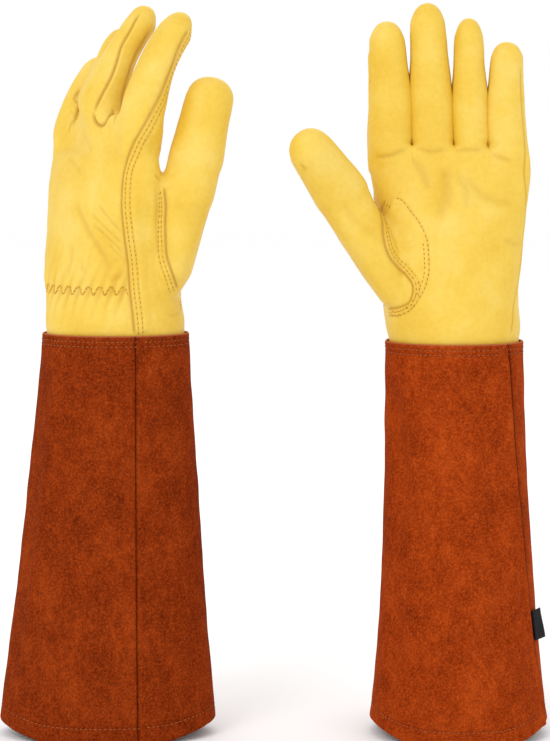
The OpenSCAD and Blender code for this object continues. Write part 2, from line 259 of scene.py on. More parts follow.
class Tube:
    """A tube round a middle line that bends towards the palm; its sections are ellipses."""

    def __init__(self, base, along, side, bend, length):
        self.base = base
        self.along = along
        self.side = unit(side - (side @ along) * along)
        self.deep = np.cross(along, self.side)
        self.bend = bend
        self.length = length
        self.radius = length / bend if bend > 0.01 else None

    def frame(self, s):
        """Middle, side and deep directions, and the way along, at distances s."""
        s = np.atleast_1d(np.asarray(s, float))[:, None]
        side = np.broadcast_to(self.side, (len(s), 3))
        if self.radius is None:
            same = np.ones_like(s)
            return self.base + self.along * s, side, self.deep * same, self.along * same
        turn = s / self.radius
        sine, cosine = np.sin(turn), np.cos(turn)
        middle = self.base + self.radius * (self.along * sine - self.deep * (1 - cosine))
        deep = self.deep * cosine + self.along * sine
        return middle, side, deep, self.along * cosine - self.deep * sine

    def measure(self, glove, stations):
        """Reads the ellipse of each section from the CAD walls."""
        found = []
        for s, parts, inset in stations:
            middle, side, deep, along = (v[0] for v in self.frame(s))
            points = glove.crossing(parts, middle, along) - middle
            centre, shape = ellipse(np.stack([points @ side, points @ deep], 1))
            found.append((s, centre, shape - inset * np.eye(2)))
        self.stations, self.centres, self.shapes = (np.array(v) for v in zip(*found))
        return self

    def sit(self, across, deep, tip, taper, wide, thick, rooted=True):
        """Moves and narrows the sections the way the worn leather does."""
        share = self.stations / self.length
        foot = ease(share, 0.95, 0.2) * (ease(share, -0.1, 0.3) if rooted else 1)
        end = np.clip((share - 0.1) / 0.7, 0, 1)
        self.centres = self.centres + foot[:, None] * [across, deep] + end[:, None] * [tip, 0]
        full = ease(share, 0.7, 0.3) * (ease(share, -0.12, 0.18) if rooted else 1)
        self.shapes = self.shapes * (1 - taper * end)[:, None, None]
        self.shapes[:, 0, 0] *= 1 + wide * full
        self.shapes[:, 1, 1] *= 1 + thick * ease(share, 0.6, 0.15)
        return self

    def section(self, s):
        s = np.minimum(s, 0.86 * self.length)
        return through(s, self.stations, self.centres), through(s, self.stations, self.shapes)

    def surface(self, s, angle, out=0.0, scale=1.0):
        """Points on the tube, moved out from it by some millimetres."""
        s, angle, out, scale = np.broadcast_arrays(*(np.asarray(v, float) for v in (s, angle, out, scale)))
        shape_of = s.shape
        s, angle, out, scale = (v.ravel() for v in (s, angle, out, scale))
        centre, shape = self.section(s)
        way = turned(angle)
        plane = np.einsum("nij,nj->ni", shape, way) * scale[:, None]
        outward = unit(np.einsum("nij,nj->ni", np.linalg.inv(shape), way))
        plane = centre + plane + outward * out[:, None]
        middle, side, deep, _ = self.frame(s)
        points = middle + side * plane[:, :1] + deep * plane[:, 1:]
        return points.reshape(shape_of + (3,))

    def coords(self, points):
        """Distance along the tube, angle round it, and share of its width, of any points."""
        away = points - self.base
        ahead, up, u = away @ self.along, away @ self.deep, away @ self.side
        if self.radius is None:
            s, v = ahead, up
        else:
            s = np.arctan2(ahead, up + self.radius) * self.radius
            v = np.hypot(ahead, up + self.radius) - self.radius
        centre, shape = self.section(s)
        q = np.einsum("nij,nj->ni", np.linalg.inv(shape), np.stack([u, v], 1) - centre)
        return s, np.degrees(np.arctan2(q[:, 1], q[:, 0])) % 360, np.linalg.norm(q, axis=1)


def ellipse(points):
    """Centre and half-size matrix of the ellipse whose outline these points are on."""
    hull = points[geometry.convex_hull_2d([Vector(p) for p in points])]
    after = np.roll(hull, -1, axis=0)
    cross = hull[:, 0] * after[:, 1] - after[:, 0] * hull[:, 1]
    area = cross.sum() / 2
    centre = ((hull + after) * cross[:, None]).sum(0) / (6 * area)
    a, b = hull - centre, after - centre
    cross = a[:, 0] * b[:, 1] - b[:, 0] * a[:, 1]
    outer = np.einsum("ni,nj->nij", a, a) + np.einsum("ni,nj->nij", b, b)
    mixed = np.einsum("ni,nj->nij", a, b)
    moment = ((2 * outer + mixed + mixed.transpose(0, 2, 1)) * cross[:, None, None]).sum(0) / 24
    square = 4 * moment / area
    root = math.sqrt(np.linalg.det(square))
    return centre, ROUND_UP * (square + root * np.eye(2)) / math.sqrt(np.trace(square) + 2 * root)


# ---- Meshes ----


def loft(rings):
    """Closed shell through rings of points: vertices and faces."""
    m, n = len(rings), len(rings[0])
    co = np.vstack([np.vstack(rings), rings[0].mean(0), rings[-1].mean(0)])
    faces = []
    for j in range(n):
        k = (j + 1) % n
        faces += [(i * n + j, i * n + k, (i + 1) * n + k, (i + 1) * n + j) for i in range(m - 1)]
        faces += [(m * n, k, j), (m * n + 1, (m - 1) * n + j, (m - 1) * n + k)]
    return co, faces


def hull_shell(points, cuts=0):
    """Closed shell round a cloud of points, with its edges cut up if it is to be bent."""
    mesh = bpy.data.meshes.new("hull")
    mesh.from_pydata(points.tolist(), [], [])
    bm = bmesh.new()
    bm.from_mesh(mesh)
    made = bmesh.ops.convex_hull(bm, input=bm.verts)
    bmesh.ops.delete(bm, geom=list(set(made["geom_interior"] + made["geom_unused"])), context="VERTS")
    if cuts:
        bmesh.ops.subdivide_edges(bm, edges=bm.edges, cuts=cuts, use_grid_fill=True)
    co = np.array([v.co[:] for v in bm.verts])
    for i, v in enumerate(bm.verts):
        v.index = i
    faces = [tuple(v.index for v in f.verts) for f in bm.faces]
    bm.free()
    bpy.data.meshes.remove(mesh)
    return co, faces


def fuse(shells, voxel):
    """One skin round overlapping closed shells: vertices and quads."""
    co, faces = [], []
    for points, sides in shells:
        start = sum(len(c) for c in co)
        co.append(points)
        faces += [tuple(i + start for i in side) for side in sides]
    mesh = bpy.data.meshes.new("shells")
    mesh.from_pydata((np.vstack(co) * MM).tolist(), [], faces)
    obj = bpy.data.objects.new("shells", mesh)
    bpy.context.scene.collection.objects.link(obj)
    remesh = obj.modifiers.new("fuse", "REMESH")
    remesh.mode = "VOXEL"
    remesh.voxel_size = voxel * MM
    result = obj.evaluated_get(bpy.context.evaluated_depsgraph_get()).to_mesh()
    points = np.empty(len(result.vertices) * 3, np.float32)
    result.vertices.foreach_get("co", points)
    corners = np.empty(len(result.loops), np.int32)
    result.loops.foreach_get("vertex_index", corners)
    bpy.data.objects.remove(obj)
    bpy.data.meshes.remove(mesh)
    return points.reshape(-1, 3).astype(float) / MM, corners.reshape(-1, 4)


def sides_of(quads):
    """The four sides of each quad, in its own direction."""
    return np.vstack([quads[:, [i, (i + 1) % 4]] for i in range(4)])


def edges_of(quads):
    return np.unique(np.sort(sides_of(quads), 1), axis=0)


def spread_over(index, values, count):
    return np.stack([np.bincount(index, v, count) for v in values.T], 1)


def relaxed(co, edges, rounds, strength):
    """Each point drawn towards its neighbours' middle, by a strength from 0 to 1 at each point."""
    a, b = edges.T
    near = np.bincount(a, minlength=len(co)) + np.bincount(b, minlength=len(co))
    strength = np.broadcast_to(strength, len(co))[:, None]
    for _ in range(rounds):
        middle = spread_over(a, co[b], len(co)) + spread_over(b, co[a], len(co))
        co = co + strength * (middle / near[:, None] - co)
    return co


def normals_of(co, quads):
    flat = np.cross(co[quads[:, 2]] - co[quads[:, 0]], co[quads[:, 3]] - co[quads[:, 1]])
    return unit(sum(spread_over(quads[:, i], flat, len(co)) for i in range(4)) + 1e-12)


def new_object(name, co, faces, material, normals=None, **values):
    """A shown mesh in the row frame, with named values at its points for its material."""
    mesh = bpy.data.meshes.new(name)
    mesh.from_pydata((co * MM).tolist(), [], faces)
    mesh.shade_smooth()
    for key, value in values.items():
        mesh.attributes.new(key, "FLOAT", "POINT").data.foreach_set("value", value.astype(np.float32))
    if normals is not None:
        mesh.normals_split_custom_set_from_vertices(normals.tolist())
    mesh.materials.append(material)
    obj = bpy.data.objects.new(name, mesh)
    bpy.context.scene.collection.objects.link(obj)
    return obj


# ---- Materials ----


def srgb(r, g, b):
    shares = [c / 255 for c in (r, g, b)]
    return tuple(c / 12.92 if c < 0.0404 else ((c + 0.055) / 1.055) ** 2.4 for c in shares) + (1.0,)


class Nodes:
    """Short way to wire a material's nodes."""

    def __init__(self, name, roughness, sheen=0.0, shine=0.5, fuzz=(1, 1, 1, 1)):
        self.material = bpy.data.materials.new(name)
        self.material.use_nodes = True
        self.tree = self.material.node_tree
        self.shader = self.tree.nodes["Principled BSDF"]
        self.shader.inputs["Roughness"].default_value = roughness
        self.shader.inputs["Sheen Weight"].default_value = sheen
        self.shader.inputs["Sheen Tint"].default_value = fuzz
        self.shader.inputs["Specular IOR Level"].default_value = shine
        self.place = self.add("ShaderNodeTexCoord").outputs["Object"]

    def add(self, kind, **settings):
        node = self.tree.nodes.new(kind)
        for key, value in settings.items():
            if key in node.inputs:
                node.inputs[key].default_value = value
            else:
                setattr(node, key, value)
        return node

    def link(self, output, node, key):
        self.tree.links.new(output, node.inputs[key])

    def noise(self, size_mm, detail=3.0, roughness=0.55, stretch=None):
        node = self.add("ShaderNodeTexNoise", Scale=1 / (size_mm * MM), Detail=detail, Roughness=roughness)
        place = self.place
        if stretch:
            mapping = self.add("ShaderNodeMapping", Scale=stretch)
            self.link(place, mapping, "Vector")
            place = mapping.outputs["Vector"]
        self.link(place, node, "Vector")
        return node.outputs["Fac"]

    def cells(self, size_mm):
        node = self.add("ShaderNodeTexVoronoi", Scale=1 / (size_mm * MM))
        self.link(self.place, node, "Vector")
        return node.outputs["Distance"]

    def value_of(self, attribute):
        return self.add("ShaderNodeAttribute", attribute_name=attribute).outputs["Fac"]

    def ramp(self, source, stops):
        node = self.add("ShaderNodeValToRGB")
        node.color_ramp.elements.remove(node.color_ramp.elements[1])
        for i, (at, colour) in enumerate(stops):
            stop = node.color_ramp.elements[0] if i == 0 else node.color_ramp.elements.new(at)
            stop.position = at
            stop.color = colour
        self.link(source, node, "Fac")
        return node.outputs["Color"]

    def mix(self, share, a, b, blend="MIX"):
        node = self.add("ShaderNodeMix", data_type="RGBA", blend_type=blend)
        for value, slot in ((share, 0), (a, 6), (b, 7)):
            if isinstance(value, (tuple, float, int)):
                node.inputs[slot].default_value = value
            else:
                self.tree.links.new(value, node.inputs[slot])
        return node.outputs[2]

    def scaled(self, source, by, plus=0.0):
        node = self.add("ShaderNodeMath", operation="MULTIPLY_ADD")
        self.tree.links.new(source, node.inputs[0])
        node.inputs[1].default_value = by
        node.inputs[2].default_value = plus
        return node.outputs[0]

    def bump(self, height, depth_mm, strength=1.0, under=None):
        node = self.add("ShaderNodeBump", Strength=strength, Distance=depth_mm * MM)
        self.link(height, node, "Height")
        if under is not None:
            self.link(under, node, "Normal")
        return node.outputs["Normal"]

    def finish(self, colour, normal, roughness=None):
        self.link(colour, self.shader, "Base Color")
        self.link(normal, self.shader, "Normal")
        if roughness is not None:
            self.link(roughness, self.shader, "Roughness")
        return self.material


def grain_leather():
    """Smooth yellow leather: cloudy colour, fine pores, and shade painted as a deeper ochre into its seams
    and folds.
    """
    n = Nodes("grain_leather", roughness=0.5, shine=0.35)
    cloud = n.ramp(n.noise(30, 3.0), [(0.32, srgb(222, 180, 50)), (0.5, srgb(227, 190, 68)),
                                      (0.68, srgb(232, 200, 96))])
    fine = n.ramp(n.noise(2.6, 4.0), [(0.25, srgb(212, 170, 56)), (0.6, srgb(232, 196, 78))])
    colour = n.mix(0.25, cloud, fine)
    # Painted shade: seams, creases and the elastic's puckers are darkened towards ochre here.
    colour = n.mix(n.value_of("groove"), colour, srgb(168, 112, 20))
    normal = n.bump(n.noise(9, 3.0), 0.35, 0.5)
    normal = n.bump(n.cells(0.9), 0.05, 0.35, under=normal)
    return n.finish(colour, normal, n.scaled(n.noise(14, 2.0), 0.25, 0.36))


def suede(name, dark, base, light):
    """Napped split leather: brushed patches, lighter fuzz, a fine felted grain."""
    n = Nodes(name, roughness=0.95, sheen=0.1, shine=0.03, fuzz=light)
    large = n.noise(19, 4.0, 0.65, stretch=(1, 1, 0.7))
    middling = n.noise(5, 4.0, 0.7, stretch=(1, 1, 0.6))
    patches = n.ramp(large, [(0.34, dark), (0.5, base), (0.66, light)])
    strokes = n.ramp(middling, [(0.32, dark), (0.5, base), (0.68, light)])
    specks = n.ramp(n.noise(1.3, 3.0, 0.8), [(0.36, dark), (0.5, base), (0.62, light)])
    colour = n.mix(0.5, n.mix(0.45, patches, strokes), specks)
    # Painted shade: seams, stitch rows and the strip beside the side seam are darkened towards a third of
    # the dark tone.
    colour = n.mix(n.value_of("groove"), colour, tuple(0.35 * c for c in dark[:3]) + (1.0,))
    colour = n.mix(n.value_of("cut"), colour, srgb(176, 100, 62))
    normal = n.bump(n.noise(5, 3.0), 0.5, 0.6)
    normal = n.bump(n.noise(0.9, 3.0, 0.7), 0.35, 0.65, under=normal)
    return n.finish(colour, normal)


def thread(name, dark, light):
    n = Nodes(name, roughness=0.7, shine=0.1)
    colour = n.ramp(n.noise(1.1, 2.0), [(0.35, dark), (0.65, light)])
    return n.finish(colour, n.bump(n.noise(0.4, 2.0, stretch=(1, 1, 3)), 0.1, 0.6))


LEATHER = grain_leather()
SUEDE = {
    # The first glove's cuff is the same suede in darker tones: painted shade over that whole cuff.
    "glove1": suede("suede_painted_shade", srgb(78, 22, 3), srgb(125, 43, 8), srgb(166, 68, 20)),
    "glove2": suede("suede_second", srgb(98, 29, 4), srgb(145, 51, 10), srgb(187, 78, 23)),
}
GRAIN_THREAD = thread("grain_thread", srgb(178, 120, 24), srgb(214, 160, 52))
SUEDE_THREAD = thread("suede_thread", srgb(140, 68, 32), srgb(176, 98, 56))
LABEL = thread("label_cloth", srgb(10, 10, 12), srgb(24, 24, 28))


# ---- The leather hand: one fused skin ----

REGIONS = ("hand",) + FINGERS + ("thumb",)
THUMB = REGIONS.index("thumb")

# Middles and radii of the round forms that end the swell below the thumb.
HEEL = {
    "glove1": (((-33, -17, 286), 13), ((-27, -16, 275), 11), ((-42, -9, 329), 7)),
    "glove2": (((-41, -9, 286), 13.5), ((-32, -9, 271), 11.5)),
}

# Heights near the knuckles between which something starts or ends.
FAN_Z = (322, 350)  # the hand's top fans out
PART_Z = (342, 353)  # above this each finger's skin is exactly its own, if its web is at its hinge
CLOSE_Z = (366, 361)  # below this the skins of neighbouring fingers may not cross
SIDES_Z = (341, 361)  # the hand's two edges are drawn straight
SOFT_Z = ((334, 344), (372, 362))  # the skin is smoothed most
ROOT_SOFT = (44, 30)  # distances from the thumb's hinge, for the same

CLEARANCE = 0.3  # from a finger's wall to where its neighbour's part of the skin may start
FINGER_GAP = 0.7  # between two fingers' skins above their web
EDGE_SQUEEZE = 2.4  # how much of the fanned hand beside the outer fingers is squeezed away
SPREAD = 0.42  # share by which the fingers stand apart while the skin is fused
WEB = {"glove1": 13, "glove2": -4}  # how far above or below their hinges the fingers part
KNUCKLES = {"glove1": (285, 328), "glove2": (316, 346)}
KNUCKLE_SIZE = {"glove1": (0.06, 0.14), "glove2": (0.055, -0.25)}


def spread_weight(z):
    return ease(z, *FAN_Z)


def fan_middle(g):
    return np.mean([t.base[0] for t in g.fingers.values()])


def fan_out(g, co, finger=None):
    """Moves the fingers apart, and the hand's top with them."""
    x = co[:, 0] if finger is None else g.fingers[finger].base[0]
    out = co.copy()
    out[:, 0] += SPREAD * (x - fan_middle(g)) * spread_weight(co[:, 2])
    return out


def fan_in(g, co, owner):
    """Undoes fan_out on the fused skin: exactly on the fingers, and smoothly below them."""
    middle, weight = fan_middle(g), spread_weight(co[:, 2])
    even = evenly_back(g, co)
    spread, held = [], []
    for tube in g.fingers.values():
        line, half = finger_line(tube, co[:, 2])
        for edge in (-half - CLEARANCE, half + CLEARANCE):
            held.append(line + edge)
            spread.append(line + edge + SPREAD * (tube.base[0] - middle) * weight)
    z = co[:, 2] - WEB[g.name]
    low = ease(z, *CLOSE_Z)
    for k in (1, 3, 5):
        over = np.maximum(held[k] - held[k + 1] + FINGER_GAP, 0) / 2 * low
        held[k], held[k + 1] = held[k] - over, held[k + 1] + over
    for end, side in ((0, -1), (-1, 1)):  # beyond the fingers there is only the hand's skin
        place = len(held) if end else 0
        fanned = held[end] + SPREAD * (held[end] - middle) * weight
        spread.insert(place, fanned + EDGE_SQUEEZE * side)
        held.insert(place, held[end] + CLEARANCE * side)
    apart = ease(z, *PART_Z) * (owner < THUMB)
    out = co.copy()
    out[:, 0] = even + (between(co[:, 0], spread, held) - even) * apart
    if WEB[g.name] < 0:
        straighten_sides(out, owner < THUMB)
    return out


def straighten_sides(out, hand):
    """Draws the hand's two edges straight, from the palm up to the feet of the outer fingers."""
    share = (out[:, 2] - SIDES_Z[0]) / (SIDES_Z[1] - SIDES_Z[0])
    inside = hand & (share > 0) & (share < 1)
    for pick, bound in ((np.min, np.maximum), (np.max, np.minimum)):
        ends = [pick(out[hand & (np.abs(out[:, 2] - z) < 1), 0]) for z in SIDES_Z]
        edge = ends[0] + (ends[1] - ends[0]) * share
        out[:, 0] = np.where(inside, bound(out[:, 0], edge), out[:, 0])


def evenly_back(g, co):
    """Where points of the spread skin would be across the hand, were it spread evenly."""
    weight = spread_weight(co[:, 2])
    return (co[:, 0] + SPREAD * fan_middle(g) * weight) / (1 + SPREAD * weight)


def owners(g, co):
    """Which digit each point of the spread skin is nearest to: 1 to 4 fingers, 5 thumb."""
    middle, weight = fan_middle(g), spread_weight(co[:, 2])
    widths = []
    for tube in g.fingers.values():
        moved = SPREAD * (tube.base[0] - middle) * weight
        widths.append(tube.coords(co - np.outer(moved, [1, 0, 0]))[2])
    owner = np.argmin(widths, 0) + 1
    s, _, width = g.thumb.coords(np.column_stack([evenly_back(g, co), co[:, 1:]]))
    return np.where((s > 2) & (width < 1.25), THUMB, owner)


def between(x, knots, values):
    """Broken line through the knots, which differ from point to point."""
    out = x - knots[0] + values[0]
    for k in range(len(knots) - 1):
        share = (x - knots[k]) / np.maximum(knots[k + 1] - knots[k], 0.5)
        middle = values[k] + (values[k + 1] - values[k]) * np.clip(share, 0, 1)
        out = np.where(share > 0, middle, out)
    return np.where(x > knots[-1], x - knots[-1] + values[-1], out)


def finger_line(tube, z):
    """Where across the hand a finger's middle is, and its half width, at heights z."""
    s = np.linspace(-20, tube.length, 30)
    centre, shape = tube.section(s)
    middle, side, deep, _ = tube.frame(s)
    points = middle + side * centre[:, :1] + deep * centre[:, 1:]
    return np.interp(z, points[:, 2], points[:, 0]), np.interp(z, points[:, 2], shape[:, 0, 0])


def knuckle_size(g, z):
    """How wide and deep the hand is towards the knuckles, against its CAD size."""
    wide, deep = KNUCKLE_SIZE[g.name]
    share = ease(z, *KNUCKLES[g.name])
    return np.array([1 + wide * share, 1 + deep * share, 1.0])


def digit_rings(tube, start, full=-2):
    """Rings round a digit, narrowing into the hand below and closing over the tip."""
    turn = full_turn()
    dome = 0.8 * tube.length
    steps = np.arange(start, dome, 3.0)
    rings = [tube.surface(s, turn, scale=1 - 0.3 * ease(s, full, start)) for s in steps]
    for step in np.linspace(0, 86, 10):
        s = dome + (tube.length - dome) * math.sin(math.radians(step))
        rings.append(tube.surface(s, turn, scale=max(0.02, math.cos(math.radians(step)) ** 0.9)))
    return rings


def hand_rings(g):
    turn = full_turn(RING_STEPS * 2)
    rings = []
    for z in np.arange(g.cuff_top - 13, 344, 3.0):
        ring = g.hand.surface(z, turn)
        rings.append(ring.mean(0) + (ring - ring.mean(0)) * knuckle_size(g, z))
    top = rings[-1]
    for step in (25, 45, 62, 76, 86):
        lift, keep = 12 * math.sin(math.radians(step)), math.cos(math.radians(step))
        middle = top.mean(0)
        ring = middle + (top - middle) * [1 - 0.16 * (1 - keep), 0.35 + 0.65 * keep, 1]
        rings.append(ring + [0, 0, lift])
    return rings


def fused_skin(g):
    shells = [loft(fan_out(g, np.vstack(hand_rings(g))).reshape(-1, RING_STEPS * 2, 3))]
    for name, tube in g.fingers.items():
        rings = [fan_out(g, r, name) for r in digit_rings(tube, -14)]
        shells.append(loft(rings))
    thumb = [fan_out(g, r) for r in digit_rings(g.thumb, 4, 18)]
    shells += [thumb_root(g), loft(thumb)]
    shells += [web(g, pair) for pair in zip(FINGERS, FINGERS[1:])]
    return fuse(shells, VOXEL)


def web(g, pair):
    """Leather that joins two fingers at their feet, up to where they part."""
    turn = full_turn()
    heights = (-6, WEB[g.name] + 2)
    rings = [fan_out(g, g.fingers[f].surface(s, turn, scale=0.86), f) for f in pair for s in heights]
    return hull_shell(np.vstack(rings))


def thumb_root(g):
    """The swell from the foot of the thumb down into the heel of the hand."""
    turn = full_turn()
    clouds = [g.thumb.surface(s, turn, scale=k) for s, k in ((2, 0.8), (10, 0.9), (18, 0.97))]
    ball = np.array([[math.cos(a) * math.cos(b), math.sin(a) * math.cos(b), math.sin(b)]
                     for a in np.linspace(0, 6.28, 24) for b in np.linspace(-1.5, 1.5, 13)])
    clouds += [np.array(middle) + ball * radius for middle, radius in HEEL[g.name]]
    co, faces = hull_shell(np.vstack(clouds), cuts=6)
    return fan_out(g, co), faces


def snapped(co, tube, low, high):
    """Points drawn onto a tube's wall, between two distances along it."""
    s, angle, _ = tube.coords(co)
    on = tube.surface(s, angle)
    weight = ease(s, low, low + 14) * ease(s, high, high - 0.08 * tube.length)
    return co + (on - co) * weight[:, None]


def smooth_skin(g, co, quads):
    """The skin in place, and which digit each of its points is nearest to."""
    edges = edges_of(quads)
    lift = WEB[g.name]
    below, above = SOFT_Z
    soft = ease(co[:, 2], *below) * ease(co[:, 2] - lift, *above)
    root = np.linalg.norm(co - g.thumb.base, axis=1)
    soft = np.maximum(soft, ease(root, *ROOT_SOFT))
    co = relaxed(co, edges, 6, 0.5)
    co = relaxed(co, edges, 36, 0.5 * soft)
    owner = owners(g, co)
    co = fan_in(g, co, owner)
    for i, tube in enumerate(g.fingers.values()):
        own = owner == i + 1
        co[own] = snapped(co[own], tube, 2 + lift, 0.9 * tube.length)
    own = owner == THUMB
    co[own] = snapped(co[own], g.thumb, 12, 0.86 * g.thumb.length)
    return relaxed(co, edges, 4, 0.4), owner


# ---- Splitting the skin where the glove bends ----

# Where a finger's own skin starts, along it from its hinge, and a further distance along it that bend_with
# works into points it does not use.
KNUCKLE_CUT = {"glove1": 11, "glove2": 3}
KNUCKLE_END = {"glove1": 37, "glove2": 30}
THUMB_CUT = -4
THUMB_END = 24
THUMB_WEB = 17.5  # how far from the thumb's middle its own skin reaches, towards the hand
FACING_FROM = 7  # past here along the thumb, skin that looks towards the thumb is the hand's
FACING = -0.1
BORDER_ROUNDS = 12  # how often the thumb's border is smoothed


def region_of(g, points, normals, owner):
    """The body that the skin at these points belongs to: 0 hand, 1 to 4 fingers, 5 thumb."""
    bases = np.array([t.base[2] for t in g.fingers.values()])
    ahead = points[:, 2] - bases[np.minimum(owner, 4) - 1]
    region = np.where(ahead > KNUCKLE_CUT[g.name], owner, 0)
    s, _, width = g.thumb.coords(points)
    web = unit(np.array([1.0, 0, 0]) - g.thumb.along[0] * g.thumb.along)
    near = (points - g.thumb.base) @ web < THUMB_WEB + np.maximum(s - 6, 0)
    facing = (unit(points - g.thumb.surface(s, 0, scale=0)) * normals).sum(1)
    near &= (facing > FACING) | (s < FACING_FROM)
    thumb = (s > THUMB_CUT) & near & ((width < 1.5) | (owner == THUMB))
    return np.where(thumb, THUMB, np.where(region == THUMB, 0, region))


def joined_up(quads, region):
    """Rounds off the thumb's region, and gives islands of any region to the one round them."""
    count = len(quads)
    sides = np.sort(sides_of(quads), 1)
    order = np.lexsort(sides.T)
    same = (sides[order[1:]] == sides[order[:-1]]).all(1)
    a, b = order[1:][same] % count, order[:-1][same] % count
    for _ in range(BORDER_ROUNDS):
        alike = region[a] == region[b]
        held = np.bincount(a[alike], minlength=count) + np.bincount(b[alike], minlength=count)
        region = np.where((region == THUMB) & (held < 3), 0, region)
    alike = region[a] == region[b]
    label, before = np.arange(count), None
    while before is None or (label != before).any():
        before = label.copy()
        low = np.minimum(label[a[alike]], label[b[alike]])
        np.minimum.at(label, a[alike], low)
        np.minimum.at(label, b[alike], low)
        label = label[label]
    size = np.bincount(label, minlength=count)
    main = [np.argmax(size * (region == r) * (label == np.arange(count))) for r in np.unique(region)]
    region = region.copy()
    for island in np.setdiff1d(np.unique(label), main):
        inside, other = label == island, np.concatenate([b[label[a] == island], a[label[b] == island]])
        outside = other[label[other] != island]
        region[inside] = np.bincount(region[outside]).argmax() if len(outside) else region[inside]
    return region


def thickened(co, normals, quads, thickness):
    """A closed wall of that thickness under a patch of skin."""
    used, quads = np.unique(quads, return_inverse=True)
    quads = quads.reshape(-1, 4)
    co, normals = co[used], normals[used]
    n = len(co)
    sides = sides_of(quads)
    key = np.sort(sides, 1)
    _, first, count = np.unique(key, axis=0, return_index=True, return_counts=True)
    rim = sides[first[count == 1]]
    rim = np.stack([rim[:, 1], rim[:, 0], rim[:, 0] + n, rim[:, 1] + n], 1)
    faces = np.vstack([quads, quads[:, ::-1] + n, rim])
    return used, np.vstack([co, co - normals * thickness]), np.vstack([normals, -normals]), faces


def bend_with(g, obj, region):
    """Bakes a piece's placement into its mesh; the ends of the joint below it are worked out but not used.
    """
    if region == 0:
        low = np.array([0, 0, g.cuff_top + 1.0])
        high = np.array([0, 0, 2 * g.wrist_z - g.cuff_top + 1])
        g.part("cuff")
        g.part("hand")
        g.world(low) * MM
        g.world(high) * MM
        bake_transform(obj)
        return
    child = REGIONS[region]
    tube, stretch = g.thumb, (THUMB_CUT, THUMB_END)
    if region != THUMB:
        tube, stretch = g.fingers[child], (KNUCKLE_CUT[g.name], KNUCKLE_END[g.name])
    ends = [g.world(tube.base + tube.along * s) * MM for s in stretch]
    g.part("hand")
    g.part(child)
    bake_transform(obj)


STANDS_FOR = {
    "hand": ("wrist_facing", "wrist_gathers", "palm_panel", "back_panel", "thumb_gusset",
             "side_welt", "knuckle_folds", "thumb_root", "wrist_elastic"),
    "thumb": ("thumb_front", "thumb_back"),
}
STANDS_FOR.update({f: (f + "_palm_side", f + "_back_side", f + "_fourchette") for f in FINGERS})


# ---- Seams, creases and stitches ----

STITCH = 2.9  # from one stitch to the next
ZIGZAG_STITCH = 2.1
# Length and radius of the stitches in the hand's seams, in the zigzag and in the cuff.
SEAM_STITCH_SIZE = (1.6, 0.3)
ZIGZAG_STITCH_SIZE = (1.7, 0.26)
CUFF_STITCH_SIZE = (1.7, 0.29)
ROWS = (2.0, 4.7)  # the two rows of a lapped seam, from its edge

# Lines on the skin, by tube, distance along it and angle round it, or by their place (x, y, z).
# A lapped seam's rows are on the right of its edge for a viewer who follows it downwards.
LONG_SEAM = {
    "glove1": [("index", 76, 186), ("index", 62, 190), ("index", 45, 199), ("index", 29, 186),
               ("index", 13, 159), (-40, 15, 358), (-33, 15, 344), (-32, 17, 325),
               ("hand", 309, 147), ("hand", 290, 151), ("hand", 272, 156), ("hand", 243, 159)],
    "glove2": [("index", 66, 126), ("index", 50, 128), ("index", 30, 130), ("index", 14, 134),
               (-41, 9, 352), ("hand", 325, 144), ("hand", 290, 149), ("hand", 243, 152)],
}
SIDE_SEAM = [("little", 50, 322), ("little", 30, 322), ("little", 8, 324), ("hand", 344, 340),
             ("hand", 320, 347), ("hand", 290, 348), ("hand", 272, 342), ("hand", 263, 335),
             ("hand", 243, 324)]
THUMB_SEAM = {
    "glove1": [(-43, -3, 334), (-45, -3, 325), (-44, -3, 312),
               (-43, -4, 302), (-42, -6, 292), (-42, -11, 280),
               (-37, -18, 271)],
    "glove2": [(-40, -9, 326), (-41, -19, 316), (-40, -24, 301),
               (-37, -23, 292), (-27, -20, 281), (-23, -24, 275),
               (-23, -25, 270), (-25, -24, 264), (-30, -20, 261),
               (-38, -8, 259)],
}
THUMB_BACK = {
    "glove1": [(-37, -18, 271), (-29, -27, 276), (-22, -29, 286),
               (-24, -29, 298), (-32, -28, 310), (-38, -22, 323),
               (-43, -8, 334)],
    "glove2": [(-38, -8, 259), (-41, 2, 262), (-43, 6, 280),
               (-46, 6, 300), (-45, 3, 318), (-40, -9, 326)],
}
LEAF = [(-37, -11, 326), (-30, -14, 325), (-25, -17, 319), (-19, -20, 311),
        (-15, -22, 302), (-14, -24, 292), (-14, -26, 282), (-17, -27, 271),
        (-21, -26, 264), (-26, -24, 259), (-31, -20, 256), (-38, -10, 257)]
MIDDLE_SEAM = [("middle", 78, 122), ("middle", 65, 125), ("middle", 54, 127), ("middle", 46, 136),
               ("middle", 36, 139), ("middle", 28, 136), ("middle", 21, 127), ("middle", 15, 113)]
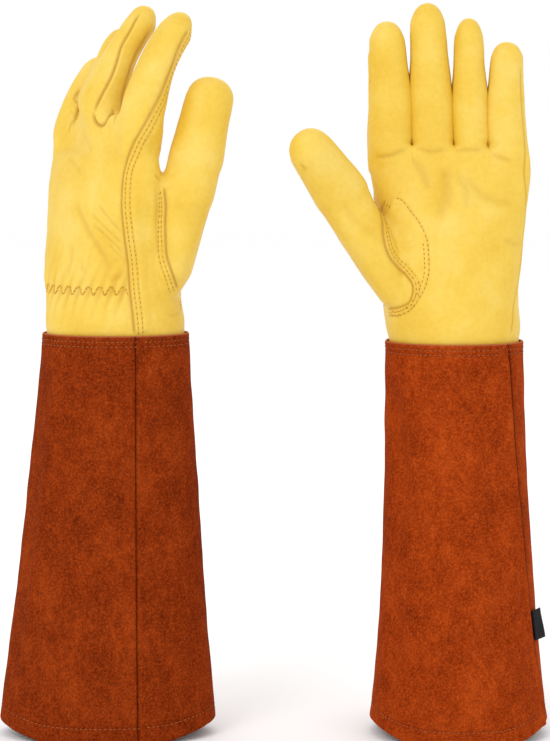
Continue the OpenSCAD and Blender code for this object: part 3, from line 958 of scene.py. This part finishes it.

# Creases: depth, half width, share of shade painted along the crease, and the line.
CREASES = {
    "glove1": [
        (0.9, 2.4, 0.2, [("hand", 322, 96), ("hand", 306, 112), ("hand", 294, 126), ("hand", 283, 138)]),
        (0.9, 1.4, 0.3, [("hand", 275, 137), ("hand", 285, 151)]),
        (0.6, 1.5, 0.2, [("hand", 290, 108), ("hand", 280, 113)]),
        (0.4, 0.9, 0.2, [("hand", 318, 112), ("hand", 307, 132), ("hand", 298, 148)]),
        (0.4, 0.9, 0.2, [("hand", 312, 115), ("hand", 301, 135), ("hand", 292, 149)]),
        (0.35, 0.9, 0.2, [("hand", 324, 117), ("hand", 313, 134), ("hand", 305, 147)]),
        (0.3, 0.8, 0.15, [("hand", 303, 127), ("hand", 294, 141), ("hand", 287, 151)]),
        (0.6, 2.0, 0.15, [("hand", 300, 95), ("hand", 288, 98), ("hand", 278, 96)]),
        (0.6, 2.0, 0.15, [("hand", 338, 96), ("hand", 345, 84), ("hand", 349, 70)]),
        (1.5, 1.0, 0.65, [("middle", 17, 113), ("middle", 11, 115), ("middle", 8.5, 130),
                          ("middle", 10, 146), ("middle", 15, 160), ("middle", 20, 166)]),
        (0.8, 1.0, 0.4, [(-46, 4, 341), (-45, 0, 338), (-44, -4, 336)]),
    ],
    "glove2": [
        (0.6, 1.6, 0.25, [(-46, -6, 350), (-36, -12, 350), (-24, -9, 357)]),
        (0.6, 1.4, 0.25, [(-22, -9, 357), (-13, -12, 353), (-1, -10, 355)]),
        (0.6, 1.4, 0.25, [(1, -10, 355), (11, -12, 354), (21, -9, 355)]),
        (0.6, 1.6, 0.25, [(22, -9, 353), (30, -11, 349), (38, -11, 346)]),
        (1.0, 3.2, 0.22, [(-24, -11, 350), (-17, -14, 340), (-13, -17, 330)]),
        (1.3, 4.2, 0.2, [(-4, -12, 346), (-3, -17, 330), (-8, -21, 312)]),
        (0.8, 3.4, 0.16, [(6, -15, 340), (20, -18, 328), (40, -14, 321)]),
        (0.7, 2.8, 0.14, [(2, -14, 344), (9, -19, 330), (8, -21, 318)]),
        (0.7, 2.2, 0.16, [(28, -14, 302), (36, -12, 299), (45, -8, 297)]),
        (0.7, 3.0, 0.12, [(-66, -34, 322), (-52, -30, 308), (-42, -26, 302)]),
        (0.5, 1.2, 0.3, [("thumb", 58, 222), ("thumb", 52, 228), ("thumb", 47, 224)]),
    ],
}


def knot_place(g, knot):
    name, distance, angle = knot
    if not isinstance(name, str):
        return np.array(knot, float)
    tube = {"hand": g.hand, "thumb": g.thumb}.get(name) or g.fingers[name]
    return tube.surface(distance, angle)


class Skin:
    """The leather of one hand: points, quads, the digit nearest each point, and the shade painted into its
    seams and creases.
    """

    def __init__(self, g):
        self.g = g
        co, self.quads = fused_skin(g)
        self.co, self.owner = smooth_skin(g, co, self.quads)
        self.groove = np.zeros(len(co))
        self.settle()

    def settle(self):
        self.normals = normals_of(self.co, self.quads)
        self.tree = BVHTree.FromPolygons(self.co.tolist(), self.quads.tolist())

    def nearest(self, points):
        """The nearest points of the skin, its direction there, and the quads they are on."""
        hits = [self.tree.find_nearest(p) for p in points.tolist()]
        quad = np.array([h[2] for h in hits])
        return np.array([h[0][:] for h in hits]), self.normals[self.quads[quad, 0]], quad

    def raise_by(self, near, height, dark=None):
        self.lift[near] += height
        # dark is painted shade for this hollow; where hollows meet, the deepest shade is kept.
        if dark is not None:
            self.groove[near] = np.maximum(self.groove[near], dark)


class Line:
    """A line on the skin through some knots, in even steps."""

    STEP = 0.7

    def __init__(self, skin, knots):
        points = np.array([knot_place(skin.g, k) for k in knots])
        points = skin.nearest(points)[0]
        reach = reach_of(points)
        points = through(np.arange(0, reach[-1], self.STEP), reach, points)
        self.points, self.normals, _ = skin.nearest(points)
        self.points = smoothed(self.points, 3)
        self.normals = unit(smoothed(self.normals, 5))
        self.along = unit(np.gradient(self.points, axis=0))
        self.side = unit(np.cross(self.normals, self.along))

    def across(self, skin, reach):
        """Skin points near the line, how far to its right, and how near to its ends, 0 to 1."""
        low, high = self.points.min(0) - reach, self.points.max(0) + reach
        near = np.flatnonzero(((skin.co > low) & (skin.co < high)).all(1))
        tree = KDTree(len(self.points))
        for i, p in enumerate(self.points.tolist()):
            tree.insert(p, i)
        tree.balance()
        index = np.array([tree.find(p)[1] for p in skin.co[near].tolist()])
        away = skin.co[near] - self.points[index]
        right = (away * self.side[index]).sum(1)
        height = (away * self.normals[index]).sum(1)
        ahead = np.abs((away * self.along[index]).sum(1))
        facing = (skin.normals[near] * self.normals[index]).sum(1)
        good = (np.abs(height) < 6) & (np.abs(right) < reach) & (ahead < 2.0) & (facing > 0)
        share = np.minimum(index, len(self.points) - 1 - index) * self.STEP
        return near[good], right[good], share[good]

    def spots(self, skin, shift, pitch, start=1.5, stop=0.5):
        """Places for stitches in a row beside the line: middle, way along, way out, quad."""
        end = len(self.points) * self.STEP - stop
        index = (np.arange(start, end, pitch) / self.STEP).astype(int)
        beside = self.points[index] + self.side[index] * shift
        place, out, quad = skin.nearest(beside)
        return place, self.along[index], out, quad


def smoothed(values, width):
    padded = np.pad(values, ((width, width), (0, 0)), mode="edge")
    return sum(padded[i:i + len(values)] for i in range(2 * width + 1)) / (2 * width + 1)


def lap(skin, line, rows=ROWS, fade=(6.5, 12), rise=0.9, ends=4):
    """One leather's edge lying on the other, with sunken rows of stitches beside it."""
    near, right, share = line.across(skin, fade[1] + 1)
    step = ease(right, -0.55, 0.45) * ease(right, fade[1], fade[0]) * rise
    height = step - 0.45 * hump(right + 1.0, 1.3)
    # Painted shade under the lapped edge and in the sunken stitch rows.
    dark = 0.75 * hump(right + 0.5, 0.75)
    for row in rows:
        height = height - 0.22 * hump(right - row, 0.7)
        dark = np.maximum(dark, 0.22 * hump(right - row, 0.7))
    end = ease(share, ends - 4.5, ends)
    skin.raise_by(near, height * end, dark * end)


def double_row(skin, line, rows):
    near, right, share = line.across(skin, 6)
    end = ease(share, -0.5, 4)
    # dark is shade painted into the sunken stitch rows.
    height, dark = 0 * right, 0 * right
    for row in rows:
        height = height - 0.25 * hump(right - row, 0.8)
        dark = np.maximum(dark, 0.2 * hump(right - row, 0.7))
    skin.raise_by(near, height * end, dark * end)


def valley(skin, line, depth, width, dark=0.45):
    """A crease or a turned-in seam: a fine valley between soft swells, with shade painted along its floor.
    """
    near, right, share = line.across(skin, 4 * width + 2)
    end = ease(share, -0.5, 6)
    height = depth * (0.35 * hump(np.abs(right) - 2.2 * width, 1.3 * width) - hump(right, width))
    skin.raise_by(near, height * end, dark * hump(right, 0.8 * width) * end)


ELASTIC = (0.0, 155.0)  # angles between which the back of the wrist is gathered
TOOTH = 7.0  # width of one tooth of the zigzag
TOOTH_HALF = 2.7  # half its height


def elastic_line(g):
    """Angles, and distances round the hand, at the height of the elastic."""
    angles = np.linspace(ELASTIC[1], ELASTIC[0] - 8, 300)
    return angles, reach_of(g.hand.surface(np.full(300, g.elastic_z), angles))


def gather(skin):
    """Slanting puckers that fan out above and below the elastic's zigzag stitch."""
    g = skin.g
    z, angle, _ = g.hand.coords(skin.co)
    rise = z - g.elastic_z
    near = np.flatnonzero((np.abs(rise) < 26) & ((angle < ELASTIC[1] + 4) | (angle > 345)))
    rise, angle = rise[near], (angle[near] + 20) % 360 - 20
    angles, reach = elastic_line(g)
    around = np.interp(angle, angles[::-1], reach[::-1])
    wander = rumple(skin.co[near], 14, 1)
    wave = np.cos(2 * math.pi * (around + 0.28 * rise + 1.3 * wander * np.abs(rise) / 9) / TOOTH)
    size = (0.75 + 0.35 * rumple(skin.co[near] * [1, 1, 0.3], 9, 2)) * np.exp(-np.abs(rise) / 8.5)
    side = ease(angle, ELASTIC[1] + 1, ELASTIC[1] - 5) * ease(angle, -14, 2)
    draw = -0.9 * hump(rise, 4.5)
    # The troughs of the puckers get painted shade.
    skin.raise_by(near, (size * wave + draw) * side, 0.25 * np.maximum(0, -wave) * size * 2 * side)


def zigzag(skin):
    g = skin.g
    angles, reach = elastic_line(g)
    stops = np.arange(0.5, reach[-1] - 4, TOOTH / 2)
    turn = np.interp(stops, reach, angles)
    height = g.elastic_z + TOOTH_HALF * np.where(np.arange(len(stops)) % 2, 1, -1)
    return Line(skin, [("hand", z, a) for z, a in zip(height, turn)])


STITCH_RINGS = ((-1, 0.35), (-0.8, 0.8), (-0.3, 1), (0.3, 1), (0.8, 0.8), (1, 0.35))


def stitch_mesh(middle, along, out, length, radius):
    """Little rounded stitches, one at each middle: vertices and faces."""
    along = unit(along - out * (along * out).sum(1, keepdims=True))
    side = np.cross(out, along)
    turn = np.radians(np.arange(6) * 60)
    co = []
    for ahead, size in STITCH_RINGS:
        for a in turn:
            ring = side * math.cos(a) * radius * size + out * math.sin(a) * radius * 0.8 * size
            co.append(middle + along * ahead * length / 2 + ring)
    co = np.stack(co, 1).reshape(-1, 3)
    count, rings = len(STITCH_RINGS) * 6, len(STITCH_RINGS)
    one = [tuple(range(5, -1, -1)), tuple(range(count - 6, count))]
    for i in range(rings - 1):
        one += [(6 * i + j, 6 * i + (j + 1) % 6, 6 * i + 6 + (j + 1) % 6, 6 * i + 6 + j) for j in range(6)]
    faces = [tuple(v + count * k for v in face) for k in range(len(middle)) for face in one]
    return co, faces


def sew_thumb(skin):
    """The thumb's seams: its front edge, its back edge and the leaf sewn on beside it."""
    g = skin.g
    mirror = g.name == "glove1"
    rows = (1.9, 4.4) if mirror else (1.9, 3.9)
    stitches = []
    for knots, ends in ((THUMB_SEAM[g.name], 5), (THUMB_BACK[g.name], 10)):
        line = Line(skin, knots)
        if mirror:
            line.side = -line.side
        lap(skin, line, rows, (5.5, 10), 0.7, ends)
        stitches += [line.spots(skin, row, STITCH, ends, ends - 3) for row in rows]
    leaf = Line(skin, LEAF)
    double_row(skin, leaf, (0,))
    stop = 18 if mirror else 2
    stitches += [leaf.spots(skin, 0, STITCH, 6, stop), leaf.spots(skin, -2.6, STITCH, 40, stop)]
    return stitches


def crease(skin):
    g = skin.g
    # Each crease and fold line is a valley with shade painted along it.
    for depth, width, dark, knots in CREASES[g.name]:
        valley(skin, Line(skin, knots), depth, width, dark)
    for finger, tube in g.fingers.items():
        for angle in (35, 145, 190, 350):
            sewn = ("index", 190), ("index", 145), ("little", 350)
            if (finger, angle) in sewn or (g.name, finger, angle) == ("glove1", "middle", 145):
                continue
            knots = [(finger, s, angle) for s in np.linspace(0.83 * tube.length, 8, 5)]
            valley(skin, Line(skin, knots), 0.45, 0.8, 0.5)
    if g.name == "glove1":
        valley(skin, Line(skin, MIDDLE_SEAM), 0.8, 0.9, 0.8)


def build_hand(g):
    skin = Skin(g)
    skin.lift = 0.35 * rumple(skin.co, 22, 3) + 0.14 * rumple(skin.co, 8, 4)
    long_seam = Line(skin, LONG_SEAM[g.name])
    lap(skin, long_seam, ends=6 if g.name == "glove1" else 14)
    valley(skin, Line(skin, SIDE_SEAM), 0.5, 0.8, 0.45)
    stitches = [long_seam.spots(skin, row, STITCH) for row in ROWS] + sew_thumb(skin)
    crease(skin)
    gather(skin)
    zig = zigzag(skin)
    valley(skin, zig, 0.35, 0.5, 0.45)
    skin.co = skin.co + skin.normals * skin.lift[:, None]
    skin.settle()
    hand_pieces(skin)
    spots = [refound(skin, found) + SEAM_STITCH_SIZE for found in stitches]
    spots.append(zig.spots(skin, 0, ZIGZAG_STITCH) + ZIGZAG_STITCH_SIZE)
    stitch_pieces(skin, spots)


def refound(skin, found):
    """The same spots on the skin as it is now."""
    place, along, _, _ = found
    place, out, quad = skin.nearest(place)
    return place, along, out, quad


def hand_pieces(skin):
    g = skin.g
    middle = skin.co[skin.quads].mean(1)
    first = skin.quads[:, 0]
    skin.region = joined_up(skin.quads, region_of(g, middle, skin.normals[first], skin.owner[first]))
    above = middle[:, 2] > g.cuff_top - 11
    for i, part in enumerate(REGIONS):
        own = skin.quads[above & (skin.region == i)]
        used, points, facing, faces = thickened(skin.co, skin.normals, own, LEATHER_T)
        obj = new_object(g.part(part) + "_leather", g.world(points), faces.tolist(), LEATHER,
                         facing @ g.axes, groove=np.tile(skin.groove[used], 2))
        bend_with(g, obj, i)
        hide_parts(*(g.part(n) for n in STANDS_FOR[part]))


def stitch_pieces(skin, spots):
    g = skin.g
    place, along, out, quad = (np.concatenate([s[k] for s in spots]) for k in range(4))
    length, radius = (np.concatenate([np.full(len(s[0]), s[k]) for s in spots])[:, None] for k in (4, 5))
    above = place[:, 2] > g.cuff_top - 2
    region = np.where(above, skin.region[quad], -1)
    for i, part in enumerate(REGIONS):
        own = region == i
        if not own.any():
            continue
        middle = place[own] + 0.05 * out[own]
        co, faces = stitch_mesh(middle, along[own], out[own], length[own], radius[own])
        obj = new_object(g.part(part) + "_stitches", g.world(co), faces, GRAIN_THREAD)
        bend_with(g, obj, i)


# ---- Cuffs ----

RADIAL_SEAM = 158
ULNAR_SEAM = (-17, -44)  # at the hem and at the top
HEM_FADE = 60
TOP_ROWS = (3.6, 6.4)  # below the top edge
HEM_ROW = 10.5  # above the hem
HEM_TURNUP = 18  # height of the suede folded in at the hem
CUFF_ROWS = 150
CUFF_COLUMNS = 170


def ulnar_angle(g, z):
    return ULNAR_SEAM[0] + (ULNAR_SEAM[1] - ULNAR_SEAM[0]) * z / g.cuff_top


def hem_line(g):
    """Height of the hem against the angle round the cuff, from the CAD panels' lowest points."""
    co = np.vstack([g.walls(p)[0] for p in ("cuff_palm_panel", "cuff_back_panel")])
    co = co[co[:, 2] < 0.06 * g.cuff_top]
    angle = g.cuff.coords(co * [1, 1, 0])[1]
    order = np.argsort(angle)
    angle, height = angle[order], co[order, 2]
    return np.concatenate([angle - 360, angle, angle + 360]), np.tile(height, 3)


def cuff_height(g, row, angle):
    """Height of a line that lies that far above the hem, easing to level further up."""
    return row + np.interp(angle, *hem_line(g)) * np.clip(1 - row / HEM_FADE, 0, 1)


def panel_grid(g, palm):
    """Rows above the hem, angles, heights and distances from the nearer side edge."""
    bunched = np.array([0, 0.3, 0.8, 1.4, 2.2])
    rows = np.concatenate([bunched, np.linspace(3, g.cuff_top - 3, CUFF_ROWS),
                           g.cuff_top - np.array([2.2, 1.4, 0.8, 0.3, 0])])[:, None]
    share = np.linspace(0, 1, CUFF_COLUMNS)
    share = (share - 0.7 * np.sin(2 * math.pi * share) / (2 * math.pi))[None, :]
    side = ulnar_angle(g, rows)
    first, last = (RADIAL_SEAM, side + 360) if palm else (side, RADIAL_SEAM)
    angle = first + (last - first) * share
    z = cuff_height(g, rows, angle)
    level = g.cuff.surface(rows + 0 * angle, angle)
    across = np.linalg.norm(np.diff(level, axis=1), axis=2)
    reach = np.concatenate([np.zeros((len(rows), 1)), np.cumsum(across, 1)], 1)
    return rows, angle, z, np.minimum(reach, reach[:, -1:] - reach), reach < reach[:, -1:] / 2


def two_sided(outside, inside):
    """Closed wall between two grids of points: vertices and faces."""
    index = np.arange(outside[..., 0].size).reshape(outside.shape[:2])
    q = index.size
    corners = [index[:-1, :-1], index[:-1, 1:], index[1:, 1:], index[1:, :-1]]
    sheet = np.stack(corners, -1).reshape(-1, 4)
    border = np.concatenate([index[0], index[1:, -1], index[-1, -2::-1], index[-2:0:-1, 0]])
    after = np.roll(border, -1)
    rim = np.stack([after, border, border + q, after + q], -1)
    co = np.vstack([outside.reshape(-1, 3), inside.reshape(-1, 3)])
    return co, np.vstack([sheet, sheet[:, ::-1] + q, rim]).tolist()


def rounded(share):
    return 1 - np.sqrt(1 - np.clip(share, 0, 1) ** 2)


FOLDS = {
    # height, angle and lean of the soft folds that run down each cuff, with depth and width
    "glove1": ((120, 70, 0.02, 1.2, 9), (200, 84, 0.05, 1.0, 6), (110, 262, -0.02, 1.0, 12)),
    "glove2": ((120, 240, -0.44, 1.9, 9), (150, 214, -0.02, 1.2, 9), (190, 300, 0.03, 0.9, 9)),
}


def drape(g, rows, angle, z):
    """How the soft suede stands in or out of its plain shape."""
    flat = g.cuff.surface(z, angle).reshape(-1, 3)
    out = 0.9 * rumple(flat * [1, 1, 0.45], 42, 5) + 0.4 * rumple(flat, 16, 6)
    out = out.reshape(z.shape) * ease(rows, 0, 12) * ease(g.cuff_top - rows, 0, 14)
    for height, turn, lean, depth, width in FOLDS[g.name]:
        middle = turn + lean * (z - height)
        off = (angle - middle + 180) % 360 - 180
        tall = ease(rows, 10, 60) * ease(g.cuff_top - rows, 4, 40)
        out = out - depth * (hump(off, width) - 0.5 * hump(off - 1.7 * width, width)) * tall
    return out


def cuff_panel(g, palm):
    rows, angle, z, edge, first = panel_grid(g, palm)
    folded = drape(g, rows, angle, z)
    raised = (0.7 * first + 1.1 * ~first) * hump(edge - 2.6, 2.2) * palm
    stitched = sum(hump(g.cuff_top - rows - r, 0.8) for r in TOP_ROWS) + hump(rows - HEM_ROW, 0.9)
    mantle = folded + raised - 0.8 * rounded(1 - edge / 1.1) - 0.35 * stitched
    hem, top = 1 - rows / 1.9, 1 - (g.cuff_top - rows) / 1.2
    outside = mantle - 1.6 * rounded(hem) - 0.5 * rounded(top)
    wall = SUEDE_T + 1.7 * ease(rows, HEM_TURNUP + 0.4, HEM_TURNUP - 0.2)
    inside = mantle - wall + 1.4 * rounded(hem) + 0.5 * rounded(top)
    co, faces = two_sided(*(g.cuff.surface(z, angle, out=v) for v in (outside, inside)))
    # Painted shade along the panel's seam edges and sunken stitch rows, and a wider band of it on the back
    # panel beside the side seam, where the seam's fold overhangs it.
    dark = 0.4 * hump(edge, 0.8) + 0.2 * np.clip(stitched, 0, 1)
    dark = dark + (0.25 * hump(edge, 5) + 0.25 * hump(edge, 1.5)) * (first & (not palm))
    cut = ease(g.cuff_top - rows, 1.0, 0.2) + 0 * z
    side = "palm" if palm else "back"
    obj = new_object(g.part(f"cuff_{side}_suede"), g.world(co), faces, SUEDE[g.name],
                     groove=np.concatenate([dark.ravel(), 0 * dark.ravel()]), cut=np.tile(cut.ravel(), 2))
    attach(obj, g.part("cuff"))
    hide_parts(g.part(f"cuff_{side}_panel"))
    return obj


def cuff_stitches(g):
    """The double row below the top edge and the row above the hem."""
    spots = []
    for height, lean in [(g.cuff_top - row, 0.25) for row in TOP_ROWS] + [(HEM_ROW, 0.0)]:
        angles = np.linspace(0, 360, 700)
        reach = reach_of(g.cuff.surface(np.full(700, height), angles))
        turn = np.interp(np.arange(1, reach[-1] - 1, STITCH), reach, angles)
        z = cuff_height(g, height, turn)
        place = g.cuff.surface(z, turn, out=drape(g, np.full(len(z), height), turn, z) - 0.1)
        ahead = g.cuff.surface(z, turn + 1) - g.cuff.surface(z, turn)
        up = g.cuff.surface(z + 1, turn) - g.cuff.surface(z, turn)
        spots.append((place, unit(ahead) + lean * unit(up), unit(np.cross(ahead, up))))
    place, along, out = (np.concatenate([s[k] for s in spots]) for k in range(3))
    co, faces = stitch_mesh(place, along, out, *CUFF_STITCH_SIZE)
    obj = new_object(g.part("cuff_stitches"), g.world(co), faces, SUEDE_THREAD)
    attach(obj, g.part("cuff"))


LABEL_Z = (60, 78)
LABEL_MIDDLE = 8.2  # degrees from the side seam
LABEL_HALF = 8.4
LABEL_FACES = (1.8, 0.9)  # how far its outside and inside stand off the cuff


def build_label(g):
    """A little folded tape caught in the side seam."""
    z = np.linspace(*LABEL_Z, 14)[:, None]
    share = np.linspace(-1, 1, 13)[None, :]
    angle = ulnar_angle(g, z) + 360 + LABEL_MIDDLE + share * LABEL_HALF
    rounding = rounded(np.abs(share) ** 6)
    lifted = (1 + share) ** 2 * (0.8 - 0.35 * ease(z, *LABEL_Z))
    lifts = [face + lifted - 0.3 * rounding for face in LABEL_FACES]
    co, faces = two_sided(*(g.cuff.surface(z + 0 * share, angle, out=o) for o in lifts))
    obj = new_object("glove2_label_tape", g.world(co), faces, LABEL)
    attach(obj, g.part("cuff"))
    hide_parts("glove2_label")


def build_cuff(g):
    palm = cuff_panel(g, True)
    cuff_panel(g, False)
    cuff_stitches(g)
    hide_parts(g.part("hem_turnup"))


# ---- Studio ----


def area_light(name, place, size, power):
    light = bpy.data.lights.new(name, "AREA")
    light.shape = "DISK"
    light.size = size
    light.energy = power
    obj = bpy.data.objects.new(name, light)
    obj.location = place
    obj.rotation_euler = (Vector((0, 0, 0.25)) - Vector(place)).to_track_quat("-Z", "Y").to_euler()
    bpy.context.scene.collection.objects.link(obj)


def build_studio():
    scene = bpy.context.scene
    scene.view_settings.view_transform = "Standard"
    world = bpy.data.worlds.new("studio")
    world.use_nodes = True
    world.node_tree.nodes["Background"].inputs["Color"].default_value = (1, 1, 1, 1)
    world.node_tree.nodes["Background"].inputs["Strength"].default_value = 1.0
    scene.world = world
    area_light("key", (-1.1, -1.7, 1.5), 1.2, 13)
    area_light("fill", (1.5, -1.5, 0.7), 1.4, 3)
    area_light("rim", (0.3, 1.6, 1.6), 1.2, 5)
    n = Nodes("studio_floor", roughness=0.9, shine=0.0)
    colour = n.ramp(n.noise(400, 1.0), [(0.0, (0.99, 0.99, 0.99, 1)), (1.0, (0.995, 0.995, 0.995, 1))])
    n.finish(colour, n.bump(n.noise(3, 1.0), 0.01, 0.1))
    mesh = bpy.data.meshes.new("floor")
    mesh.from_pydata([(-8, -8, 0), (8, -8, 0), (8, 8, 0), (-8, 8, 0)], [], [(0, 1, 2, 3)])
    mesh.materials.append(n.material)
    floor = bpy.data.objects.new("floor", mesh)
    scene.collection.objects.link(floor)


CAMERA_DISTANCE = 1.45
CAMERA_RISE = 5.5
CAMERA_LENS = 117
AIM_HEIGHT = 0.2219


def build_camera():
    camera = bpy.data.cameras.new("camera")
    camera.lens = CAMERA_LENS
    camera.sensor_width = 36
    obj = bpy.data.objects.new("camera", camera)
    rise = math.radians(CAMERA_RISE)
    back = Vector((0, -math.cos(rise), math.sin(rise)))
    obj.location = Vector((0.0003, 0, AIM_HEIGHT)) + back * CAMERA_DISTANCE
    obj.rotation_euler = (-back).to_track_quat("-Z", "Y").to_euler()
    bpy.context.scene.collection.objects.link(obj)
    bpy.context.scene.camera = obj


build_camera()
build_studio()
gloves = [Glove("glove1"), Glove("glove2")]
for glove in gloves:
    build_hand(glove)
    build_cuff(glove)

build_label(gloves[1])
